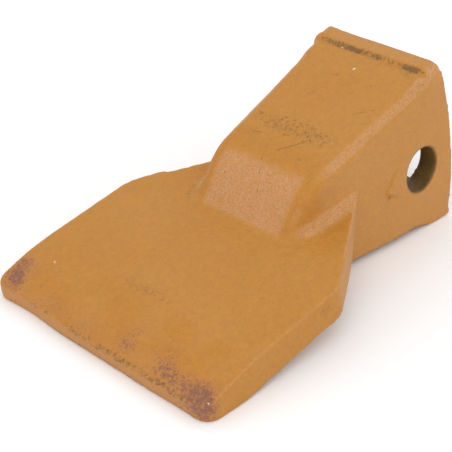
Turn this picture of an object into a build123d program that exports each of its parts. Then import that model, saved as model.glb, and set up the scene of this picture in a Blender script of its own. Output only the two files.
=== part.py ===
"""Wide bucket tooth tip: one steel casting with a tapered socket at the rear, two pin ears and a flared blade.

Millimetres. The origin is the centre of the pin bore, halfway between the ears. +X points to the cutting edge,
+Y runs along the pin and +Z is up. Heights in the values below are measured from the ground under the tip.
"""

import os
from math import cos, hypot, radians, sin, tan

from build123d import *

# Pin bore through both ears
bore_radius = 11.0
bore_height = 34.0
bore_edge_radius = 0.8

# Socket body, seen from the side
rear_foot_x = -24.3
rear_middle_x = -23.1
rear_middle_height = 38.0
rear_top_x = -11.5
rear_top_height = 83.0
crown_pitch = 20.3
brow_x = 73.5
brow_radius = 27.0
face_pitch = 58.5
heel_front_x = -11.0
relief_start_x = 3.0
relief_height = 3.2
heel_blend_radius = 20.0

# Socket body, seen from above at ground level
ear_half_width = 37.0
waist_x = 14.0
waist_radius = 120.0
front_half_width = 31.5
front_station_x = 84.0
draft = 2.2
crown_edge_radius = 6.5
foot_edge_radius = 1.5

# Rear band: a raised lip across the crown, and a flat land round each end of the pin bore
lip_rise = 0.9
lip_front_x = -5.0
band_rise = 0.3
band_nose_x = 26.0
band_nose_height = 31.0
band_shoulder_x = 6.0
band_shoulder_height = 58.0
band_tail_x = -10.0
band_tail_height = 10.5

# Flared blade
blade_half_width = 67.6
blade_pitch = 10.6
blade_top_x = 103.0
blade_top_height = 26.0
edge_x = 175.6
edge_lean = 1.4
edge_top_height = 7.0
edge_land = 23.6
nose_roll_length = 34.0
belly_pitch = 12.6
belly_radius = 60.0
corner_radius = 7.0
flare_angle = 31.9
flare_root_x = 43.6
flare_corner_radius = 17.0
flare_root_radius = 9.0
wing_setback = 1.0
blade_edge_radius = 1.2
blade_foot_radius = 1.0
root_radius = 8.0

# Socket for the adapter nose
socket_pitch = 10.5
mouth_x = -27.0
ear_wall = 10.0
crown_wall = 12.3
keel_wall = 11.5
mouth_corner_radius = 9.0
taper_length = 80.0
seat_width = 40.0
seat_tall = 28.0
seat_corner_radius = 5.0
seat_length = 12.0
mouth_edge_radius = 1.2

# Spare length of the cutting shapes, past the faces that they trim
overrun = 40.0


# Stations of the blade behind its cutting edge
edge_top_x = edge_x + edge_lean
nose_roll_x = edge_top_x - nose_roll_length
belly_x = edge_x - edge_land


def side_point(x, height):
    """A point of the side view: distance ahead of the pin, and height over the ground."""
    return (x, height - bore_height)


def crown_height(x):
    """Height of the crown's sloping top over the ground."""
    return rear_top_height - (x - rear_top_x) * tan(radians(crown_pitch))


def blade_height(x):
    """Height of the blade's flat top over the ground."""
    return blade_top_height - (x - blade_top_x) * tan(radians(blade_pitch))


def belly_height(x):
    """Height of the blade's flat underside over the ground."""
    return (belly_x - x) * tan(radians(belly_pitch))


def both_sides(*points):
    """Points of a plan on the left side, and then their twins on the right side, in order round the plan."""
    return [*points, *[(x, -y) for x, y in reversed(points)]]


def corners_at(corners, *points):
    """The sketch corners that lie on the given points."""
    return [c for c in corners for p in points if abs(c.X - p[0]) + abs(c.Y - p[1]) < 0.01]


def on_blade_top(edge):
    """Whether the middle of an edge lies on the plane of the blade's flat top."""
    middle = edge.position_at(0.5)
    return abs(middle.Z + bore_height - blade_height(middle.X)) < 0.05


def long_edges(item, from_x, to_x, at_z, length):
    """The rim edges of the blade, left and right, that lie between two stations and above or below a height."""
    middles = [(e, e.position_at(0.5)) for e in item.edges() if e.length > length]
    middles = [(e, m) for e, m in middles if from_x < m.X < to_x and abs(m.Y) > ear_half_width + 5]
    return [e for e, m in middles if (m.Z > at_z if at_z > -bore_height else m.Z < blade_edge_height)]


def in_mouth(point):
    """Whether a point of the rear face belongs to the rim of the socket's mouth."""
    height = point.Z + bore_height
    return abs(point.Y) < mouth_width / 2 + 1 and keel_wall / 2 < height < rear_top_height - crown_wall / 4


# The ground plane, and the body's width at stations along it
ground = Plane.XY.offset(-bore_height)
side_fall = (ear_half_width - front_half_width) / (front_station_x - waist_x)
keel_half_width = front_half_width - side_fall * (belly_x - front_station_x)
tail_x = rear_foot_x - overrun

# Where the body's sloping face would meet the crown and the blade if nothing were rounded
face_fall = tan(radians(face_pitch))
brow = side_point(brow_x, crown_height(brow_x))
face_foot_x = brow_x + (crown_height(brow_x) - blade_height(brow_x)) / (face_fall - tan(radians(blade_pitch)))
face_end_height = belly_height(face_foot_x) + root_radius / 2
face_end_x = face_foot_x + (blade_height(face_foot_x) - face_end_height) / face_fall
keel_end_x = belly_x - relief_height / 2 / tan(radians(belly_pitch))

# The flare line: it leaves the side of the body at its root, and ends at the corner of the blade
waist = (waist_x, ear_half_width)
flare_root = (flare_root_x, ear_half_width - side_fall * (flare_root_x - waist_x))
flare_corner_x = flare_root_x + (blade_half_width - flare_root[1]) / tan(radians(flare_angle))
flare_corner = (flare_corner_x, blade_half_width)
flare_length = hypot(flare_corner_x - flare_root_x, blade_half_width - flare_root[1])
slab_x = flare_root_x + wing_setback

# The socket's mouth, inside the walls of the ears, the crown and the keel
mouth_width = 2 * (ear_half_width - ear_wall)
mouth_top = crown_height(mouth_x) - crown_wall
mouth_height = (mouth_top + keel_wall) / 2
mouth_tall = (mouth_top - keel_wall) / cos(radians(socket_pitch))

# Heights and widths that tell one group of edges from another
blade_edge_height = blade_height(flare_corner_x) - bore_height
bore_face_half_width = ear_half_width - 4

# The lip's rise square to the crown, read as a height
lip_height = lip_rise / cos(radians(crown_pitch))

# Plan of the body, narrower towards the blade and drafted upwards
with BuildPart() as body_plan:
    with BuildSketch(ground):
        with BuildLine():
            Polyline(*both_sides((belly_x, keel_half_width), waist, (tail_x, ear_half_width)), close=True)
        make_face()
        fillet(corners_at(vertices(), *both_sides(waist)), radius=waist_radius)
    extrude(amount=rear_top_height + overrun, taper=draft)

# Plan of the whole casting, with the flare and its rounded corners
with BuildPart() as outline_plan:
    with BuildSketch(ground):
        with BuildLine():
            front_corner = (edge_x + overrun, blade_half_width)
            rear_corner = (tail_x, ear_half_width)
            Polyline(*both_sides(front_corner, flare_corner, flare_root, waist, rear_corner), close=True)
        make_face()
        fillet(corners_at(vertices(), *both_sides(waist)), radius=waist_radius)
        fillet(corners_at(vertices(), *both_sides(flare_root)), radius=flare_root_radius)
        fillet(corners_at(vertices(), *both_sides(flare_corner)), radius=flare_corner_radius)
    extrude(amount=rear_top_height + overrun, taper=draft)

# Socket body: its side view cut to the plan, with the crown's edges and the face's corners well rounded
with BuildPart() as socket_body:
    with BuildSketch(Plane.XZ):
        with BuildLine():
            Polyline(
                side_point(tail_x, crown_height(tail_x)),
                brow,
                side_point(face_end_x, face_end_height),
                side_point(keel_end_x, face_end_height / 2),
                side_point(keel_end_x, relief_height),
                side_point(relief_start_x, relief_height),
                side_point(heel_front_x, 0),
                side_point(tail_x, 0),
                close=True,
            )
        make_face()
        fillet(corners_at(vertices(), brow), radius=brow_radius)
        fillet(
            corners_at(vertices(), side_point(heel_front_x, 0), side_point(relief_start_x, relief_height)),
            radius=heel_blend_radius,
        )
    extrude(amount=ear_half_width + overrun, both=True)
    add(body_plan.part, mode=Mode.INTERSECT)
    top_faces = socket_body.faces().filter_by(lambda f: f.normal_at().Z > 0.4)
    crown_edges = [e for e in top_faces.edges() if abs(e.center().Y) > 20 and e.center().X < face_foot_x]
    fillet(crown_edges, radius=crown_edge_radius)
    foot_faces = socket_body.faces().filter_by(lambda f: f.normal_at().Z < -0.9)
    foot_edges = [e for e in foot_faces.edges() if abs(e.position_at(0.5).Y) > 20 and abs(e.tangent_at(0.5).X) > 0.9]
    fillet(foot_edges, radius=foot_edge_radius)

# Blade slab, wider and longer than the plan that trims it
with BuildPart() as blade:
    with BuildSketch(Plane.XZ):
        with BuildLine():
            top_rear = side_point(slab_x, blade_height(slab_x))
            top_line = Line(top_rear, side_point(nose_roll_x, blade_height(nose_roll_x)))
            nose = TangentArc(top_line @ 1, side_point(edge_top_x, edge_top_height), tangent=top_line % 1)
            Polyline(
                nose @ 1,
                side_point(edge_x, 0),
                side_point(belly_x, 0),
                side_point(slab_x, belly_height(slab_x)),
                top_line @ 0,
            )
        make_face()
        fillet(corners_at(vertices(), side_point(belly_x, 0)), radius=belly_radius)
    extrude(amount=blade_half_width + overrun, both=True)

# Rear band, a little proud of the crown and of both sides: a lip on top and a flat land round each end of the bore
with BuildPart() as rear_band:
    with BuildSketch(Plane.XZ):
        with BuildLine():
            Polyline(
                side_point(tail_x, band_tail_height),
                side_point(band_tail_x, band_tail_height),
                side_point(band_nose_x, band_nose_height),
                side_point(band_shoulder_x, band_shoulder_height),
                side_point(lip_front_x, crown_height(lip_front_x) + lip_height),
                side_point(tail_x, crown_height(tail_x) + lip_height),
                close=True,
            )
        make_face()
    extrude(amount=ear_half_width + overrun, both=True)
    with BuildSketch(ground):
        Rectangle(4 * overrun, 2 * (ear_half_width + band_rise))
    extrude(amount=rear_top_height + overrun, taper=draft, mode=Mode.INTERSECT)
    band_top = rear_band.faces().sort_by(Axis.Z)[-1]
    fillet([e for e in band_top.edges() if abs(e.center().Y) > 20], radius=crown_edge_radius)

# Everything behind the bulged rear face
with BuildPart() as tail_cut:
    with BuildSketch(Plane.XZ):
        with BuildLine():
            rear_face = ThreePointArc(
                side_point(rear_foot_x, 0),
                side_point(rear_middle_x, rear_middle_height),
                side_point(rear_top_x, rear_top_height),
            )
            Polyline(
                rear_face @ 1,
                side_point(rear_top_x, rear_top_height + overrun),
                side_point(tail_x - overrun, rear_top_height + overrun),
                side_point(tail_x - overrun, -overrun),
                side_point(rear_foot_x, -overrun),
                rear_face @ 0,
            )
        make_face()
    extrude(amount=ear_half_width + overrun, both=True)

# Tapered socket with a straight seat at its end, both square to the pitched axis
mouth_plane = Plane(
    origin=(mouth_x, 0, mouth_height - bore_height),
    x_dir=(0, 1, 0),
    z_dir=(cos(radians(socket_pitch)), 0, -sin(radians(socket_pitch))),
)
seat_plane = mouth_plane.offset(taper_length)
with BuildPart() as socket_space:
    with BuildSketch(mouth_plane):
        RectangleRounded(mouth_width, mouth_tall, mouth_corner_radius)
    with BuildSketch(seat_plane):
        RectangleRounded(seat_width, seat_tall, seat_corner_radius)
    loft()
    with BuildSketch(seat_plane):
        RectangleRounded(seat_width, seat_tall, seat_corner_radius)
    extrude(amount=seat_length)

with BuildPart() as tooth_tip:
    add(socket_body.part)
    add(blade.part)
    # The root: where the body's sides and its sloping face run out into the blade's top
    root_edges = [e for e in tooth_tip.edges() if on_blade_top(e) and abs(e.position_at(0.5).Y) < ear_half_width]
    root_edges = [e for e in root_edges if slab_x < e.position_at(0.5).X < face_foot_x + 1]
    fillet(root_edges, radius=root_radius)
    add(outline_plan.part, mode=Mode.INTERSECT)
    nose_corners = [e for e in tooth_tip.edges() if edge_x < e.position_at(0.5).X and abs(e.tangent_at(0.5).Z) > 0.9]
    fillet(nose_corners, radius=corner_radius)
    # The rear: the band is added, then the bulged face, the socket and the bore are cut
    add(rear_band.part)
    add(tail_cut.part, mode=Mode.SUBTRACT)
    add(socket_space.part, mode=Mode.SUBTRACT)
    with BuildSketch(Plane.XZ):
        Circle(bore_radius)
    extrude(amount=ear_half_width + overrun, both=True, mode=Mode.SUBTRACT)
    # Edges left by the mould and the grinder: blade rim, blade foot, socket mouth and bore
    rim_edges = long_edges(tooth_tip, flare_root_x, flare_corner_x, blade_edge_height, flare_length / 2)
    fillet(rim_edges, radius=blade_edge_radius)
    foot_length = (belly_x - flare_corner_x) / 2
    fillet(long_edges(tooth_tip, flare_corner_x, belly_x, -bore_height, foot_length), radius=blade_foot_radius)
    rear_edges = [e for e in tooth_tip.edges() if e.position_at(0.5).X < rear_top_x]
    mouth_edges = [e for e in rear_edges if in_mouth(e.position_at(0.5))]
    fillet(mouth_edges, radius=mouth_edge_radius)
    bore_edges = [e for e in tooth_tip.edges() if abs(e.position_at(0.5).X + bore_radius) < 0.2 and e.length > 60]
    bore_edges = [e for e in bore_edges if abs(e.position_at(0.5).Y) > bore_face_half_width]
    fillet(bore_edges, radius=bore_edge_radius)

tooth_tip.part.label = "tooth_tip"
tooth_tip.part.color = Color(0.78, 0.55, 0.3)

os.makedirs("parts", exist_ok=True)
export_step(tooth_tip.part, "parts/tooth_tip.step")
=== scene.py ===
"""Looks of a wide bucket tooth tip: a worn, ochre-painted steel casting on a pale studio floor.

Metres. The origin is the centre of the pin bore. +X points to the cutting edge, +Y runs along the pin
and +Z is up. Wear, dents, grime and painted shade are given in millimetres in the same axes, and turned into metres.
"""

import math

import bmesh
import bpy
import numpy as np
from bpy.props import FloatProperty, FloatVectorProperty, IntProperty, PointerProperty
from bpy.types import Operator, Panel, PropertyGroup
from mathutils import Matrix, Vector, noise


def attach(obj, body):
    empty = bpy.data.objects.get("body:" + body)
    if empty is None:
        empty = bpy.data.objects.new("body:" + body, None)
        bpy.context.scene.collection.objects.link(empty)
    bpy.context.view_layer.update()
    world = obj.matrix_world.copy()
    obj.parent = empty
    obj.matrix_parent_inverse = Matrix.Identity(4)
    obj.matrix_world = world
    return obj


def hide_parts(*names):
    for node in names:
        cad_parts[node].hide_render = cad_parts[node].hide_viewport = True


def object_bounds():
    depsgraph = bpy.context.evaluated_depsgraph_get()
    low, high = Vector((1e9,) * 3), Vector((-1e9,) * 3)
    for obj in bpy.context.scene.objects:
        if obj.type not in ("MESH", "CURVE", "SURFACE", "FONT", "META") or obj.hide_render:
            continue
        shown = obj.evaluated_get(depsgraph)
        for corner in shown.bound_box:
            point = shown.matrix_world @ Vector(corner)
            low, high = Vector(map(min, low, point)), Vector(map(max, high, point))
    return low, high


bl_info = {
    "name": "Bucket tooth tip",
    "version": (1, 0, 0),
    "blender": (4, 5, 0),
    "location": "3D View > Sidebar > Tooth Tip",
    "description": "Builds a worn, painted bucket tooth tip and its studio stage",
    "category": "Object",
}

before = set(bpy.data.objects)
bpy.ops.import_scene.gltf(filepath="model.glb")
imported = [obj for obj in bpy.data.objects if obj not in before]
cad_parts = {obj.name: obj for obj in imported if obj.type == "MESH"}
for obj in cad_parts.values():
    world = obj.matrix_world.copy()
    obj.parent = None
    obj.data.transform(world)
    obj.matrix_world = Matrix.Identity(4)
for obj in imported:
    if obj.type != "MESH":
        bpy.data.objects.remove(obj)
SOLID_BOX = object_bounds()
SOLID = "tooth_tip"
MM = 0.001


# Sizes and colours that a user may change


class CastingSettings(PropertyGroup):
    """Sizes of the casting's skin and wear"""

    skin_spacing: FloatProperty(
        name="Skin spacing",
        description="Distance between neighbouring points of the cast skin",
        default=0.97 * MM,
        min=0.8 * MM,
        subtype="DISTANCE",
        precision=5,
    )
    rim_softening: IntProperty(
        name="Rim softening",
        description="Rounds of smoothing that wear the rims round",
        default=3,
        min=0,
    )
    swell_depth: FloatProperty(
        name="Swell depth",
        description="Height of the broad waves that the mould leaves in the skin",
        default=0.30 * MM,
        subtype="DISTANCE",
        precision=5,
    )
    grain_depth: FloatProperty(
        name="Grain depth",
        description="Height of the sand grain in the skin",
        default=0.11 * MM,
        subtype="DISTANCE",
        precision=5,
    )
    edge_wear: FloatProperty(
        name="Edge wear",
        description="How far the cutting edge is worn back at its worst",
        default=1.9 * MM,
        subtype="DISTANCE",
        precision=5,
    )
    corner_wear: FloatProperty(
        name="Corner wear",
        description="Radius that the front corners are worn to",
        default=7.4 * MM,
        subtype="DISTANCE",
        precision=5,
    )


class PaintSettings(PropertyGroup):
    """Colours and finish of the worn paint"""

    ochre: FloatVectorProperty(
        name="Ochre",
        description="Colour of the sound paint",
        default=(0.483, 0.209, 0.033),
        size=3,
        subtype="COLOR",
    )
    # Painted shade in part: besides the paint's own slow drift of tone, this deeper ochre lies beside the steep face
    # and on upward faces that miss the sheen.
    deep_ochre_and_shade: FloatVectorProperty(
        name="Deep ochre",
        description="Colour where the paint has pooled thicker",
        default=(0.464, 0.185, 0.016),
        size=3,
        subtype="COLOR",
    )
    # Painted sheen in part: this pale pink lies on the faces that catch the lights, besides dusty overspray in the
    # grain.
    dust_and_sheen: FloatVectorProperty(
        name="Dust",
        description="Pale pink dust and overspray that lies in the cast grain",
        default=(0.550, 0.296, 0.155),
        size=3,
        subtype="COLOR",
    )
    stain: FloatVectorProperty(
        name="Stain",
        description="Red-brown stain that rust leaves in the paint round it",
        default=(0.400, 0.150, 0.070),
        size=3,
        subtype="COLOR",
    )
    rust: FloatVectorProperty(
        name="Rust",
        description="Purple-brown rust where the paint has worn through",
        default=(0.200, 0.080, 0.058),
        size=3,
        subtype="COLOR",
    )
    # Painted shade in part: this dark colour also darkens the lip's step, besides dirt in corners and scratches.
    grime_and_shade: FloatVectorProperty(
        name="Grime",
        description="Dark dirt in the corners and scratches",
        default=(0.130, 0.080, 0.034),
        size=3,
        subtype="COLOR",
    )
    chip: FloatVectorProperty(
        name="Chip",
        description="Pale chips in the paint",
        default=(0.720, 0.600, 0.420),
        size=3,
        subtype="COLOR",
    )
    # Painted shade: this dark colour stands in for the shade deep in the bore and the socket.
    inside: FloatVectorProperty(
        name="Inside",
        description="Thin dark paint in the bore and the socket",
        default=(0.100, 0.054, 0.013),
        size=3,
        subtype="COLOR",
    )


class StageSettings(PropertyGroup):
    """Camera, light and floor of the studio"""

    lens: FloatProperty(
        name="Lens",
        description="Focal length of the camera",
        default=105.34,
        subtype="DISTANCE_CAMERA",
    )
    room_light: FloatProperty(
        name="Room light",
        description="Strength of the even white light from all round",
        default=1.0,
        min=0.0,
    )
    key_light: FloatProperty(
        name="Key light",
        description="Power of the large soft light beside the camera",
        default=2.8,
        min=0.0,
        unit="POWER",
    )
    floor_colour: FloatVectorProperty(
        name="Floor",
        description="Colour of the floor",
        default=(0.96, 0.96, 0.96),
        size=3,
        subtype="COLOR",
    )


# Places of the wear, the grime and the painted shade, in millimetres: (x, y, z, reach, strength)

RUST_SPOTS = [
    (167.0, -60.5, -22.5, 6.5, 0.85),
    (160.0, -62.0, -20.0, 5.0, 0.55),
    (171.5, -57.0, -24.3, 5.0, 0.45),
    (161.0, -52.0, -20.0, 5.0, 0.25),
    (173.3, 61.1, -25.2, 6.5, 0.62),
    (175.0, 65.5, -27.5, 5.5, 0.70),
    (171.5, 53.0, -24.5, 7.0, 0.40),
    (168.0, 60.0, -23.0, 6.0, 0.35),
    (160.5, 15.5, -20.2, 4.0, 0.34),
    (165.5, 12.5, -22.0, 5.5, 0.36),
    (170.5, 15.5, -24.0, 5.0, 0.42),
    (163.5, 31.0, -21.2, 5.0, 0.30),
    (168.8, 36.6, -23.2, 6.5, 0.46),
    (171.0, 44.0, -24.2, 7.0, 0.40),
    (168.5, -28.0, -23.0, 7.0, 0.26),
    (170.5, -8.0, -24.0, 8.0, 0.30),
    (172.0, -40.0, -24.5, 7.0, 0.26),
]

GRIME_AND_SHADE_SPOTS = [
    # The first eight lie along the lip's step and deepen the painted shade there.
    (-3.6, -14.0, 46.0, 2.6, 0.46),
    (-3.4, -8.5, 46.0, 2.4, 0.42),
    (-3.6, -20.5, 46.0, 2.4, 0.34),
    (-3.9, 3.5, 46.2, 2.2, 0.36),
    (-4.0, 20.5, 46.6, 3.0, 0.52),
    (-3.2, 24.5, 46.0, 3.0, 0.50),
    (-8.5, 22.5, 48.5, 2.2, 0.36),
    (-0.5, 23.0, 45.0, 2.0, 0.36),
    (62.6, 15.1, 21.6, 2.8, 0.50),
    (66.5, 23.2, 20.1, 2.8, 0.46),
    (67.8, 26.5, 18.5, 2.4, 0.40),
    (121.8, 32.3, -11.5, 1.8, 0.42),
    (117.0, 39.3, -10.6, 1.6, 0.42),
    (119.2, 43.7, -11.0, 2.0, 0.40),
    (102.5, 35.7, -7.9, 1.6, 0.34),
    (92.5, 33.5, -6.0, 2.6, 0.34),
    (98.0, 37.0, -7.0, 2.4, 0.34),
    (103.0, 67.2, -11.5, 3.6, 0.46),
    (108.0, 67.2, -14.0, 3.4, 0.42),
    (98.0, 66.8, -17.0, 3.2, 0.46),
    (0.5, 32.1, 42.7, 2.0, 0.62),
    (6.5, 31.8, 40.8, 2.0, 0.44),
    (-0.1, 34.7, 33.8, 2.2, 0.40),
    (3.0, 33.6, 37.6, 2.0, 0.34),
    (23.5, 35.2, -6.5, 1.5, 0.85),
    (20.5, 35.2, -4.5, 1.3, 0.44),
    (168.5, -37.0, -23.0, 2.2, 0.50),
    (166.5, -44.0, -22.3, 1.8, 0.36),
]

CHIP_SPOTS = [
    (154.4, -49.7, -18.2, 0.55, 0.9),
    (157.2, -45.0, -19.1, 0.50, 0.9),
    (166.6, -38.7, -22.3, 0.42, 0.7),
    (-3.0, -18.0, 45.9, 0.70, 0.9),
    (-3.2, -7.0, 45.9, 0.45, 0.8),
    (6.7, -2.3, 42.3, 0.75, 1.0),
    (172.8, 65.0, -25.0, 0.50, 0.9),
    (140.5, -24.0, -15.0, 0.38, 0.6),
]

# Lines of dirt, and of painted shade along the lip: start, end, half width and strength, in millimetres
GRIME_AND_SHADE_LINES = [
    # The first three darken the lip's step and rim: painted shade.
    ((-4.3, -31.0, 46.0), (-4.2, 2.0, 46.3), 0.80, 0.66),
    ((-4.2, 2.0, 46.3), (-4.2, 29.0, 46.3), 0.70, 0.56),
    ((-11.0, -29.0, 49.5), (-11.0, 26.0, 49.5), 0.60, 0.38),
    ((174.6, -52.0, -26.6), (175.4, -14.0, -26.6), 0.60, 0.40),
    ((175.8, -14.0, -26.6), (176.0, 54.0, -26.7), 0.90, 0.60),
    ((26.0, 35.3, -3.0), (6.0, 34.8, 24.0), 0.55, 0.30),
    ((26.0, 35.3, -3.0), (-10.0, 36.8, -23.5), 0.50, 0.24),
    ((76.0, -36.0, -1.0), (88.0, -33.0, -4.5), 1.10, 0.46),
]

# Patches of rough casting skin: centre, half lengths along x and y, height of the roughness and how much dirt it holds
ROUGH_PATCHES = [
    ((49.5, -1.0), (6.0, 26.0), 0.62, 0.50),
    ((22.0, -4.0), (15.0, 17.0), 0.30, 0.22),
    ((144.0, 0.5), (3.4, 15.0), 0.50, 0.44),
    ((60.0, -14.0), (5.0, 13.0), 0.24, 0.36),
]

# Thin scratches and cracks: start, end and half width, in millimetres
SCRATCHES = [
    ((62.9, 0.3, 21.5), (49.5, 11.5, 26.3), 0.26),
    ((69.3, -3.0, 18.6), (75.0, 0.6, 14.0), 0.20),
    ((75.0, 0.6, 14.0), (79.5, 3.6, 7.7), 0.20),
    ((59.0, -19.0, 23.0), (56.5, -12.5, 24.0), 0.24),
    ((31.0, 17.0, 33.4), (24.5, 24.0, 35.8), 0.16),
    ((12.5, -7.0, 40.2), (15.5, -13.0, 39.2), 0.20),
]

# Small dents in the skin: (x, y, z, reach, depth) in millimetres
DENTS = [
    (0.5, 32.1, 42.7, 2.0, 0.90),
    (6.5, 31.8, 40.8, 1.8, 0.45),
    (3.0, 33.6, 37.6, 1.8, 0.40),
    (23.5, 35.2, -6.5, 1.8, 0.60),
    (121.8, 32.3, -11.5, 2.2, 0.30),
    (117.0, 39.3, -10.6, 2.0, 0.30),
    (119.2, 43.7, -11.0, 2.2, 0.25),
    (168.5, -37.0, -23.0, 2.2, 0.45),
    (96.0, -58.0, -8.0, 3.5, 0.35),
    (170.0, 48.0, -24.5, 3.5, 0.40),
    (172.0, 30.0, -25.0, 3.0, 0.35),
    (160.0, -60.0, -20.5, 3.5, 0.35),
]


# Shape of the casting


def ease(values, low, high):
    """0 below low, 1 above high and a smooth rise between them."""
    share = np.clip((values - low) / (high - low), 0.0, 1.0)
    return share * share * (3.0 - 2.0 * share)


def hump(points, centre, reach):
    """1 at the centre, falling smoothly to nothing a few reaches away."""
    gap = np.linalg.norm(points - np.array(centre), axis=1) / reach
    return np.exp(-gap * gap)


def waves(points, size, seed):
    """Smooth random waves from -1 to 1, with features of about that size."""
    shift = Vector((seed * 7.31, seed * 3.17, seed * 5.73))
    scale = 1.0 / size
    return np.array([noise.noise(Vector(p) * scale + shift) for p in points.tolist()])


def even_skin(solid, spacing, softening):
    """The solid's surface as an evenly spaced skin with slightly worn rims."""
    mesh = solid.data.copy()
    welded = bmesh.new()
    welded.from_mesh(mesh)
    bmesh.ops.remove_doubles(welded, verts=welded.verts, dist=1e-6)
    welded.to_mesh(mesh)
    welded.free()
    skin = bpy.data.objects.new("tooth_tip_casting", mesh)
    bpy.context.scene.collection.objects.link(skin)
    remesh = skin.modifiers.new("Even skin", "REMESH")
    remesh.mode = "VOXEL"
    remesh.voxel_size = spacing
    follow = skin.modifiers.new("Follow the solid", "SHRINKWRAP")
    follow.target = solid
    follow.wrap_method = "NEAREST_SURFACEPOINT"
    soften = skin.modifiers.new("Soften the rims", "SMOOTH")
    soften.factor = 0.5
    soften.iterations = softening
    bpy.context.view_layer.update()
    graph = bpy.context.evaluated_depsgraph_get()
    made = bpy.data.meshes.new_from_object(skin.evaluated_get(graph))
    skin.modifiers.clear()
    skin.data = made
    made.name = "tooth_tip_casting"
    made.materials.clear()
    return skin


def read_points(mesh):
    """The mesh's points, in millimetres, one per row."""
    points = np.zeros(len(mesh.vertices) * 3)
    mesh.vertices.foreach_get("co", points)
    return points.reshape(-1, 3) / MM


def read_normals(mesh):
    """The mesh's normals at its points, one per row."""
    normals = np.zeros(len(mesh.vertices) * 3)
    mesh.vertex_normals.foreach_get("vector", normals)
    return normals.reshape(-1, 3)


def write_points(mesh, points):
    """Puts the mesh's points, given in millimetres, back, inside the solid's own box."""
    low = np.array(SOLID_BOX[0]) / MM
    high = np.array(SOLID_BOX[1]) / MM
    points = np.clip(points, low, high)
    mesh.vertices.foreach_set("co", (points * MM).ravel())
    mesh.update()


def wear_corner(points, side, radius):
    """Rounds a front corner of the blade, seen from above, to that radius."""
    front = SOLID_BOX[1].x / MM
    reach = SOLID_BOX[1].y / MM
    ahead = points[:, 0] - (front - radius)
    aside = side * points[:, 1] - (reach - radius)
    out = np.hypot(ahead, aside)
    beyond = (ahead > 0) & (aside > 0) & (out > radius)
    share = np.where(beyond, radius / np.maximum(out, 1e-6), 1.0)
    points[:, 0] = np.where(beyond, front - radius + ahead * share, points[:, 0])
    points[:, 1] = np.where(beyond, side * (reach - radius + aside * share), points[:, 1])


def wear_edge(points, depth):
    """Wears the cutting edge back unevenly, most of all a little way in from the far corner."""
    near_edge = ease(points[:, 0], 160.0, 177.0)
    far_side = np.exp(-(((points[:, 1] + 47.0) / 17.0) ** 2))
    uneven = 0.5 + 0.5 * waves(points * [0.0, 1.0, 0.0], 16.0, 11)
    points[:, 0] -= near_edge * (far_side * depth + uneven * depth * 0.25)


def shape_rear_lip(points):
    """The lip stands crisp over the crown, with a prouder far end that runs out further ahead."""
    x, y, z = points.T.copy()
    high = ease(z, 34.0, 42.0)
    far_end = 1.0 - ease(y, -33.5, -25.0)
    rear = 1.0 - ease(x, -5.0, -2.0)
    ahead = ease(x, -8.0, -3.0) * (1.0 - ease(x, 3.0, 15.0))
    points[:, 1] -= high * far_end * (1.5 * rear + 1.0 * ahead)
    points[:, 2] += high * far_end * (1.1 * rear + 1.0 * ahead)
    top = ease(z, 44.0, 45.5)
    step = top * (1.0 - ease(x, -5.6, -4.4))
    groove = top * (1.0 - ease(np.abs(x + 3.4), 0.3, 1.5))
    rim = ease(z, 46.5, 48.5) * (1.0 - ease(x, -11.0, -9.5))
    points[:, 2] += 0.25 * step - 0.40 * groove + 0.20 * rim
    points[:, 0] -= 0.50 * rim


def shape_flares(points):
    """The far flare bulges ahead of a nick in its rim, and the near flare is fuller towards the ground."""
    x, y, z = points.T.copy()
    far_side = 1.0 - ease(y, -54.0, -46.0)
    bulge = far_side * ease(x, 79.0, 81.5) * (1.0 - ease(x, 88.0, 104.0))
    points[:, 0] -= 1.0 * bulge
    points[:, 1] -= 1.7 * bulge
    low = 1.0 - ease(z, -18.0, -8.0)
    near_side = ease(y + 0.62 * (100.0 - x), 62.0, 66.0) * ease(x, 50.0, 62.0) * (1.0 - ease(x, 96.0, 112.0))
    points[:, 0] -= 0.7 * low * near_side
    points[:, 1] += 1.0 * low * near_side


def break_bore_rims(points):
    """The pin has broken out the inner rims of the bore a little."""
    out = np.hypot(points[:, 0], points[:, 2])
    socket_wall = 27.0 - 7.0 * (points[:, 0] + 27.0) / 80.0
    from_wall = np.abs(np.abs(points[:, 1]) - socket_wall)
    rim = (1.0 - ease(out, 11.6, 13.0)) * (1.0 - ease(from_wall, 0.6, 2.2))
    share = 1.0 + 0.8 * rim / np.maximum(out, 1.0)
    points[:, 0] *= share
    points[:, 2] *= share


def patch_weight(points, normals, centre, half_lengths):
    """1 inside a patch of the upper side and 0 outside, with a soft and ragged rim."""
    ragged = 0.25 * waves(points, 5.0, 23)
    along = (points[:, 0] - centre[0]) / half_lengths[0]
    across = (points[:, 1] - centre[1]) / half_lengths[1]
    out = np.hypot(along, across) + ragged
    return (1.0 - ease(out, 0.75, 1.1)) * (normals[:, 2] > 0.5)


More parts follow.
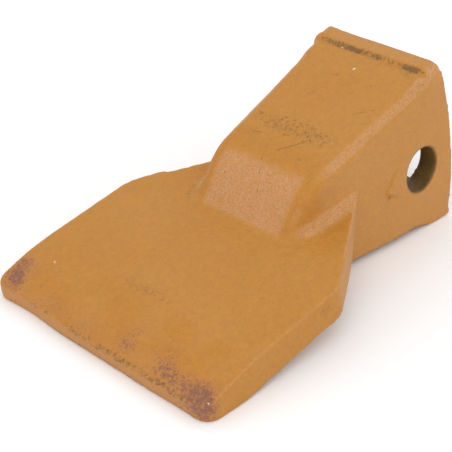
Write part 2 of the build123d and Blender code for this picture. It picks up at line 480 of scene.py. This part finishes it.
def cast_skin(mesh, settings):
    """Gives the skin the waves, grain, rough patches, dents and wear of a used casting."""
    points = read_points(mesh)
    wear_edge(points, settings.edge_wear / MM)
    wear_corner(points, -1.0, settings.corner_wear / MM)
    wear_corner(points, 1.0, settings.corner_wear / MM)
    shape_rear_lip(points)
    shape_flares(points)
    break_bore_rims(points)
    write_points(mesh, points)
    normals = read_normals(mesh)
    inside = inside_weight(points)
    rise = settings.swell_depth / MM * waves(points, 24.0, 1)
    rise += 0.35 * settings.swell_depth / MM * waves(points, 9.0, 2)
    grain = waves(points, 2.6, 3) + 0.7 * waves(points, 4.6, 4)
    rise += settings.grain_depth / MM * grain
    for centre, half_lengths, height, _ in ROUGH_PATCHES:
        lumps = np.maximum(waves(points, 4.2, 5), -0.1) + 0.35 * waves(points, 2.4, 6)
        rise += height * 1.6 * lumps * patch_weight(points, normals, centre, half_lengths)
    for x, y, z, reach, depth in DENTS:
        rise -= depth * hump(points, (x, y, z), reach)
    rise *= 1.0 - 0.6 * inside
    write_points(mesh, points + normals * rise[:, None])


# Where each finish lies, and where painted sheen and shade lie, as a weight for every point of the skin


def inside_weight(points):
    """1 in the pin bore and in the socket, and 0 on the outside."""
    across = np.abs(points[:, 1])
    in_bore = (1.0 - ease(np.hypot(points[:, 0], points[:, 2]), 11.3, 12.1)) * (1.0 - ease(across, 36.2, 36.9))
    slope = math.tan(math.radians(10.5))
    from_axis = np.abs(points[:, 2] - 10.0 + slope * (points[:, 0] + 27.0))
    narrowing = np.clip((points[:, 0] + 27.0) / 80.0, 0.0, 1.0)
    in_socket = (1.0 - ease(across, 27.2 - 7.0 * narrowing, 28.2 - 7.0 * narrowing)) * (points[:, 0] < 66.0)
    in_socket = in_socket * (1.0 - ease(from_axis, 33.4 - 19.0 * narrowing, 34.6 - 19.0 * narrowing))
    return np.maximum(in_bore, in_socket)


def dust_and_sheen_weight(points, normals):
    """Where the pale pink lies in the grain: the steep face, the body's rounded edges and the roots, and also the wing
    backs, sides, rims and front; partly dusty overspray, partly painted sheen where these faces catch the lights.
    """
    x, y, z = points.T
    across = np.abs(y)
    tilt = np.abs(normals[:, 1])
    face = ease(normals[:, 0], 0.45, 0.68) * ease(z, -7.0, -2.0) * (1 - ease(x, 87.0, 93.0)) * ease(x, 62.0, 70.0)
    face *= 1.0 - ease(across, 21.0, 25.0)
    edge = ease(tilt, 0.22, 0.40) * (1 - ease(tilt, 0.80, 0.95)) * ease(normals[:, 2], 0.3, 0.5)
    crown_edge = edge * ease(z, 12.0, 20.0) * (1 - ease(x, 58.0, 70.0))
    root = edge * ease(z, -8.0, -4.0) * (1 - ease(z, 6.0, 10.0)) * ease(x, 30.0, 40.0) * (1 - ease(x, 76.0, 86.0))
    lip = ease(-x, 4.6, 6.0) * ease(z, 40.0, 44.0)
    wing_back = ease(-normals[:, 0], 0.25, 0.5) * ease(across, 38.0, 44.0)
    side = ease(tilt, 0.9, 0.98) * (1 - ease(x, 60.0, 80.0))
    rim = edge * ease(across, 60.0, 64.0)
    front = ease(normals[:, 0], 0.75, 0.9) * ease(x, 170.0, 174.0)
    weight = 0.95 * face + 0.80 * crown_edge + 0.95 * root + 0.40 * lip + 0.55 * wing_back
    return np.clip(weight + 0.25 * side + 0.5 * rim + 0.45 * front, 0, 1)


def deep_tone_and_shade_weight(points, normals):
    """Where the colour goes deeper: beside the steep face, on the wings and near the edge. Beside the face and on
    upward faces this is painted shade where no sheen falls; the patches near the edge are the paint's own tone.
    """
    x, y, z = points.T
    across = np.abs(y)
    beside_face = ease(across, 22.0, 26.0) * (1 - ease(across, 31.0, 34.0)) * ease(x, 66.0, 71.0)
    beside_face *= (1 - ease(x, 84.0, 90.0)) * ease(z, -6.0, -2.0)
    wings = ease(normals[:, 2], 0.8, 0.95) * ease(across, 37.0, 41.0) * (1 - ease(x, 66.0, 84.0))
    patches = ease(waves(points, 15.0, 31), -0.25, 0.30)
    toward_edge = ease(normals[:, 2], 0.8, 0.9) * ease(x, 142.0, 154.0) * patches
    crown_foot = ease(x, 56.0, 62.0) * (1 - ease(x, 67.0, 71.0)) * ease(normals[:, 2], 0.75, 0.85) * ease(z, 10, 16)
    return np.clip(0.8 * beside_face + 0.8 * wings + 0.85 * toward_edge + 0.6 * crown_foot, 0, 1)


def rust_weight(points, normals):
    """Where the paint has worn through to rust: the cutting edge, its corners and the spots on the blade."""
    edge = 0.24 * ease(points[:, 0], 164.0, 174.0)
    under = 0.40 * ease(-normals[:, 2], 0.5, 0.8)
    weight = edge + under
    for spot in RUST_SPOTS:
        weight = weight + spot[4] * hump(points, spot[:3], spot[3])
    return np.clip(weight, 0, 1)


def line_gap(points, start, end):
    """Distance of each point from the line between two places."""
    start = np.array(start)
    run = np.array(end) - start
    share = np.clip((points - start) @ run / (run @ run), 0.0, 1.0)
    return np.linalg.norm(points - start - share[:, None] * run, axis=1)


def grime_and_shade_weight(points, normals):
    """Where dirt has gathered, under the cutting edge, in dents and in the rough patches, and painted shade along the
    lip's step in front of the lip.
    """
    weight = 0.5 * ease(points[:, 0], 172.0, 176.0) * (1 - ease(points[:, 2], -32.5, -30.5))
    for start, end, half_width, strength in GRIME_AND_SHADE_LINES:
        weight = np.maximum(weight, strength * (1 - ease(line_gap(points, start, end), half_width, 3 * half_width)))
    for centre, half_lengths, _, dirt in ROUGH_PATCHES:
        weight = weight + dirt * patch_weight(points, normals, centre, half_lengths)
    for spot in GRIME_AND_SHADE_SPOTS:
        weight = weight + spot[4] * hump(points, spot[:3], spot[3])
    return np.clip(weight, 0, 1)


def chip_weight(points):
    """Where small pale chips show."""
    weight = np.zeros(len(points))
    for spot in CHIP_SPOTS:
        weight = np.maximum(weight, spot[4] * hump(points, spot[:3], spot[3] * 1.3))
    return weight


def lay_weights(mesh):
    """Writes each finish's weight, painted sheen and shade among them, to the mesh, one named layer for each."""
    points = read_points(mesh)
    normals = read_normals(mesh)
    layers = {
        "inside": inside_weight(points),
        "dust_and_sheen": dust_and_sheen_weight(points, normals),
        "deep_tone_and_shade": deep_tone_and_shade_weight(points, normals),
        "rust": rust_weight(points, normals),
        "grime_and_shade": grime_and_shade_weight(points, normals),
        "chip": chip_weight(points),
    }
    for name, weights in layers.items():
        layer = mesh.attributes.new(name, "FLOAT", "POINT")
        layer.data.foreach_set("value", weights.astype(np.float32))


# Paint, built from nodes


class NodeBench:
    """Adds nodes to one material and joins them."""

    def __init__(self, material):
        material.use_nodes = True
        self.tree = material.node_tree
        self.tree.nodes.clear()
        self.place = self.add("ShaderNodeTexCoord").outputs["Object"]

    def add(self, kind, **settings):
        """A new node of that kind, with its settings."""
        node = self.tree.nodes.new(kind)
        for name, value in settings.items():
            setattr(node, name, value)
        return node

    def feed(self, socket, source):
        """Joins a socket to another node's socket, or sets it to a constant."""
        if isinstance(source, bpy.types.NodeSocket):
            self.tree.links.new(source, socket)
        else:
            socket.default_value = source

    def layer(self, name):
        """The weight of a finish, from the mesh."""
        return self.add("ShaderNodeAttribute", attribute_name=name).outputs["Fac"]

    def noise(self, scale, detail=2.0, roughness=0.5):
        """Noise with that many features to the metre."""
        node = self.add("ShaderNodeTexNoise")
        self.feed(node.inputs["Vector"], self.place)
        node.inputs["Scale"].default_value = scale
        node.inputs["Detail"].default_value = detail
        node.inputs["Roughness"].default_value = roughness
        return node.outputs["Fac"]

    def cells(self, scale):
        """Distance to the nearest of random points, that many to the metre."""
        node = self.add("ShaderNodeTexVoronoi")
        self.feed(node.inputs["Vector"], self.place)
        node.inputs["Scale"].default_value = scale
        return node.outputs["Distance"]

    def sums(self, operation, first, second=0.0, clamp=False):
        """One step of arithmetic."""
        node = self.add("ShaderNodeMath", operation=operation, use_clamp=clamp)
        for socket, source in zip(node.inputs, (first, second)):
            self.feed(socket, source)
        return node.outputs[0]

    def span(self, source, low, high, to_low=0.0, to_high=1.0):
        """Maps low..high to another span, with a smooth rise."""
        node = self.add("ShaderNodeMapRange", interpolation_type="SMOOTHSTEP")
        for name, value in (("From Min", low), ("From Max", high), ("To Min", to_low), ("To Max", to_high)):
            node.inputs[name].default_value = value
        self.feed(node.inputs["Value"], source)
        return node.outputs["Result"]

    def blend(self, weight, first, second, blend_type="MIX"):
        """A colour between two others."""
        node = self.add("ShaderNodeMix", data_type="RGBA", blend_type=blend_type)
        self.feed(node.inputs["Factor"], weight)
        self.feed(node.inputs[6], first)
        self.feed(node.inputs[7], second)
        return node.outputs[2]

    def steps(self, operation, first, second=None, scale=None, out=0):
        """One step of vector arithmetic."""
        node = self.add("ShaderNodeVectorMath", operation=operation)
        self.feed(node.inputs[0], first)
        if second is not None:
            self.feed(node.inputs[1], second)
        if scale is not None:
            self.feed(node.inputs["Scale"], scale)
        return node.outputs[out]


def colour(values):
    """A colour with full cover."""
    return (*values, 1.0)


def scratch_weight(bench, wavy_place, start, end, half_width):
    """1 on a line between two places, given in millimetres, and 0 away from it."""
    start = Vector(start) * MM
    run = Vector(end) * MM - start
    offset = bench.steps("SUBTRACT", wavy_place, tuple(start))
    reached = bench.steps("DOT_PRODUCT", offset, tuple(run / run.length_squared), out=1)
    reached = bench.sums("ADD", reached, 0.0, clamp=True)
    nearest = bench.steps("SCALE", tuple(run), scale=reached)
    gap = bench.steps("DISTANCE", offset, nearest, out=1)
    return bench.span(gap, half_width * MM * 0.4, half_width * MM * 1.7, 1.0, 0.0)


def grey(bench, level):
    """A grey of that level, as a colour."""
    node = bench.add("ShaderNodeCombineColor")
    for socket in node.inputs:
        bench.feed(socket, level)
    return node.outputs[0]


def sound_paint(bench, paint, ragged, mottle, grain):
    """The sound paint: deeper in colour in places, partly painted shade, with a slow drift of tone and a fine mottle.
    """
    drift = bench.noise(30.0, 3.0, 0.55)
    # Painted shade: deeper ochre beside the steep face and on upward faces that catch no sheen; the patches near the
    # edge are the paint's own tone.
    deep_tone_and_shade = bench.sums("MULTIPLY", bench.layer("deep_tone_and_shade"), bench.span(ragged, 0.25, 0.75, 0.50, 1.0))
    tone = bench.blend(deep_tone_and_shade, colour(paint.ochre), colour(paint.deep_ochre_and_shade))
    tone = bench.blend(bench.span(drift, 0.35, 0.70, 0.0, 0.35), tone, colour(paint.deep_ochre_and_shade))
    shade = bench.sums("ADD", bench.span(mottle, 0.25, 0.75, 0.92, 1.05), bench.span(grain, 0.2, 0.8, -0.075, 0.075))
    return bench.blend(1.0, tone, grey(bench, shade), "MULTIPLY")


def scratch_lines(bench):
    """1 on the thin scratches and cracks, which sway a little, and 0 beside them."""
    wobble = bench.add("ShaderNodeTexNoise")
    bench.feed(wobble.inputs["Vector"], bench.place)
    wobble.inputs["Scale"].default_value = 260.0
    wobble.inputs["Detail"].default_value = 3.0
    sway = bench.steps("SUBTRACT", wobble.outputs["Color"], (0.5, 0.5, 0.5))
    sway = bench.steps("SCALE", sway, scale=0.0020)
    wavy_place = bench.steps("ADD", bench.place, sway)
    lines = 0.0
    for start, end, half_width in SCRATCHES:
        lines = bench.sums("MAXIMUM", scratch_weight(bench, wavy_place, start, end, half_width), lines)
    return lines


def worn_paint(paint):
    """Ochre paint on a cast skin: worn to rust, scratched and grimed, with painted sheen on faces that catch the
    lights and painted shade on faces that miss it, in the lip's step and inside.
    """
    material = bpy.data.materials.new("worn_ochre_paint")
    bench = NodeBench(material)
    mottle = bench.noise(300.0, 4.0, 0.62)
    grain = bench.noise(900.0, 2.0, 0.6)
    speckle = bench.noise(1400.0, 2.0, 0.6)
    ragged = bench.noise(170.0, 6.0, 0.68)
    fine_ragged = bench.noise(620.0, 5.0, 0.72)
    tone = sound_paint(bench, paint, ragged, mottle, grain)

    # Pale pink on the grain's high points: partly dusty overspray, partly painted sheen on the faces that catch the
    # lights
    dust_and_sheen = bench.sums("MULTIPLY", bench.layer("dust_and_sheen"), bench.span(speckle, 0.36, 0.64, 0.10, 1.0))
    dust_and_sheen = bench.sums("MULTIPLY", dust_and_sheen, bench.span(ragged, 0.25, 0.6, 0.65, 1.0))
    tone = bench.blend(dust_and_sheen, tone, colour(paint.dust_and_sheen))

    # Rust: a soft stain, ragged patches where the paint is through, and small flecks round them
    bare = bench.layer("rust")
    tone = bench.blend(bench.sums("MULTIPLY", bare, 0.42), tone, colour(paint.stain))
    rust_reach = bench.sums("ADD", bare, bench.span(fine_ragged, 0.2, 0.8, -0.55, 0.55))
    rust = bench.span(rust_reach, 0.50, 1.15, 0.0, 0.80)
    tone = bench.blend(rust, tone, colour(paint.rust))
    fleck_reach = bench.sums("ADD", bench.noise(820.0, 3.0, 0.6), bench.sums("MULTIPLY", bare, 0.10))
    flecks = bench.sums("MULTIPLY", bench.span(fleck_reach, 0.65, 0.72), bench.sums("ADD", bare, 0.18))
    tone = bench.blend(flecks, tone, colour(paint.rust))

    # Grime in corners, dents and scratches, and painted shade in the lip's step
    grime_and_shade_reach = bench.sums("ADD", bench.layer("grime_and_shade"), bench.span(fine_ragged, 0.2, 0.8, -0.50, 0.50))
    grime_and_shade = bench.span(grime_and_shade_reach, 0.36, 1.05, 0.0, 0.80)
    lines = scratch_lines(bench)
    broken = bench.sums("MULTIPLY", lines, bench.span(fine_ragged, 0.35, 0.60, 0.25, 0.85))
    tone = bench.blend(bench.sums("MAXIMUM", grime_and_shade, broken), tone, colour(paint.grime_and_shade))

    # Pores, chips and the painted shade of the inside
    pores = bench.span(bench.cells(85.0), 0.020, 0.045, 0.50, 0.0)
    tone = bench.blend(pores, tone, colour(paint.grime_and_shade))
    chips = bench.span(bench.sums("ADD", bench.layer("chip"), bench.span(grain, 0.2, 0.8, -0.3, 0.3)), 0.35, 0.75)
    tone = bench.blend(chips, tone, colour(paint.chip))
    # Painted shade inside the bore and the socket, with a ragged variation of tone.
    inside_shade_tone = bench.blend(bench.span(ragged, 0.3, 0.7), colour(paint.inside), colour([1.7 * c for c in paint.inside]))
    tone = bench.blend(bench.layer("inside"), tone, inside_shade_tone)

    # Finish
    finish = bench.span(mottle, 0.3, 0.7, 0.50, 0.64)
    finish = bench.sums("ADD", finish, bench.sums("MULTIPLY", dust_and_sheen, 0.16))
    finish = bench.sums("ADD", finish, bench.sums("MULTIPLY", grime_and_shade, 0.2), clamp=True)
    height = bench.sums("MULTIPLY", mottle, 0.45)
    height = bench.sums("ADD", height, bench.sums("MULTIPLY", bench.noise(620.0, 3.0, 0.6), 0.35))
    dust_and_sheen_grain = bench.sums("MULTIPLY", speckle, bench.layer("dust_and_sheen"))
    height = bench.sums("ADD", height, bench.sums("MULTIPLY", dust_and_sheen_grain, 0.7))
    height = bench.sums("SUBTRACT", height, bench.sums("MULTIPLY", bench.sums("MAXIMUM", lines, pores), 0.8))
    bump = bench.add("ShaderNodeBump")
    bump.inputs["Strength"].default_value = 0.6
    bump.inputs["Distance"].default_value = 0.0004
    bench.feed(bump.inputs["Height"], height)
    shader = bench.add("ShaderNodeBsdfPrincipled")
    bench.feed(shader.inputs["Base Color"], tone)
    bench.feed(shader.inputs["Roughness"], finish)
    bench.feed(shader.inputs["Normal"], bump.outputs["Normal"])
    shader.inputs["Specular IOR Level"].default_value = 0.36
    output = bench.add("ShaderNodeOutputMaterial")
    bench.feed(output.inputs["Surface"], shader.outputs["BSDF"])
    return material


# Stage


def plain_material(name, tint, roughness):
    """One even, matt colour."""
    material = bpy.data.materials.new(name)
    bench = NodeBench(material)
    shader = bench.add("ShaderNodeBsdfPrincipled")
    shader.inputs["Base Color"].default_value = colour(tint)
    shader.inputs["Roughness"].default_value = roughness
    output = bench.add("ShaderNodeOutputMaterial")
    bench.feed(output.inputs["Surface"], shader.outputs["BSDF"])
    return material


def lay_floor(height, tint):
    """A wide floor under the tip."""
    half = 3.0
    mesh = bpy.data.meshes.new("studio_floor")
    corners = [(-half, -half, height), (half, -half, height), (half, half, height), (-half, half, height)]
    mesh.from_pydata(corners, [], [(0, 1, 2, 3)])
    mesh.materials.append(plain_material("studio_floor_paint", tint, 0.9))
    floor = bpy.data.objects.new("studio_floor", mesh)
    bpy.context.scene.collection.objects.link(floor)


def hang_light(name, place, target, size, power):
    """A large square light that faces a target."""
    lamp = bpy.data.lights.new(name, "AREA")
    lamp.shape = "SQUARE"
    lamp.size = size
    lamp.energy = power
    light = bpy.data.objects.new(name, lamp)
    light.location = place
    light.rotation_mode = "QUATERNION"
    light.rotation_quaternion = (Vector(target) - Vector(place)).to_track_quat("-Z", "Y")
    bpy.context.scene.collection.objects.link(light)


def light_room(strength):
    """Even white light from all round."""
    world = bpy.data.worlds.new("white_room")
    world.use_nodes = True
    background = world.node_tree.nodes["Background"]
    background.inputs["Color"].default_value = (1.0, 1.0, 1.0, 1.0)
    background.inputs["Strength"].default_value = strength
    bpy.context.scene.world = world


def set_camera(lens):
    """The camera, where the tip is seen from above its near front corner."""
    data = bpy.data.cameras.new("studio_camera")
    data.lens = lens
    data.sensor_width = 36.0
    camera = bpy.data.objects.new("studio_camera", data)
    across = Vector((-0.6975, 0.7165, -0.0069)).normalized()
    back = Vector((0.6145, 0.6031, 0.5085)).normalized()
    up = back.cross(across).normalized()
    turn = Matrix((across, up, back)).transposed()
    camera.matrix_world = Matrix.Translation((0.45809, 0.35556, 0.29538)) @ turn.to_4x4()
    bpy.context.scene.collection.objects.link(camera)
    bpy.context.scene.camera = camera


# Operators


class TOOTH_OT_casting(Operator):
    """Build the worn casting from the frame's solid and paint it"""

    bl_idname = "tooth.casting"
    bl_label = "Build casting"

    def execute(self, context):
        settings = context.scene.tooth_casting
        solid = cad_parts.get(SOLID)
        if solid is None:
            raise RuntimeError(f"the frame has no solid named {SOLID}")
        skin = even_skin(solid, settings.skin_spacing, settings.rim_softening)
        if not skin.data.polygons:
            raise RuntimeError("the casting's skin came out empty")
        cast_skin(skin.data, settings)
        lay_weights(skin.data)
        skin.data.shade_smooth()
        skin.data.materials.append(worn_paint(context.scene.tooth_paint))
        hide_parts(SOLID)
        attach(skin, "root")
        return {"FINISHED"}


class TOOTH_OT_stage(Operator):
    """Lay the floor, hang the lights and set the camera"""

    bl_idname = "tooth.stage"
    bl_label = "Build stage"

    def execute(self, context):
        stage = context.scene.tooth_stage
        lay_floor(SOLID_BOX[0].z, stage.floor_colour)
        light_room(stage.room_light)
        middle = (SOLID_BOX[0] + SOLID_BOX[1]) / 2
        hang_light("key_light", (0.68, 0.55, 0.85), middle, 0.9, stage.key_light)
        set_camera(stage.lens)
        context.scene.view_settings.view_transform = "Standard"
        return {"FINISHED"}


class TOOTH_PT_panel(Panel):
    """Builds the tooth tip and its stage"""

    bl_label = "Tooth Tip"
    bl_idname = "TOOTH_PT_panel"
    bl_space_type = "VIEW_3D"
    bl_region_type = "UI"
    bl_category = "Tooth Tip"

    def draw(self, context):
        layout = self.layout
        for group, operator in (
            (context.scene.tooth_casting, TOOTH_OT_casting),
            (context.scene.tooth_paint, None),
            (context.scene.tooth_stage, TOOTH_OT_stage),
        ):
            box = layout.box()
            for name in group.bl_rna.properties.keys():
                if name not in ("rna_type", "name"):
                    box.prop(group, name)
            if operator:
                box.operator(operator.bl_idname)


CLASSES = (CastingSettings, PaintSettings, StageSettings, TOOTH_OT_casting, TOOTH_OT_stage, TOOTH_PT_panel)


def register():
    """Registers the settings, the operators and the panel."""
    for item in CLASSES:
        bpy.utils.register_class(item)
    bpy.types.Scene.tooth_casting = PointerProperty(type=CastingSettings)
    bpy.types.Scene.tooth_paint = PointerProperty(type=PaintSettings)
    bpy.types.Scene.tooth_stage = PointerProperty(type=StageSettings)


def unregister():
    """Takes away what register added."""
    del bpy.types.Scene.tooth_stage
    del bpy.types.Scene.tooth_paint
    del bpy.types.Scene.tooth_casting
    for item in reversed(CLASSES):
        bpy.utils.unregister_class(item)


def main():
    """Builds the tip and its stage."""
    register()
    bpy.ops.tooth.stage()
    bpy.ops.tooth.casting()


if __name__ == "__main__":
    main()
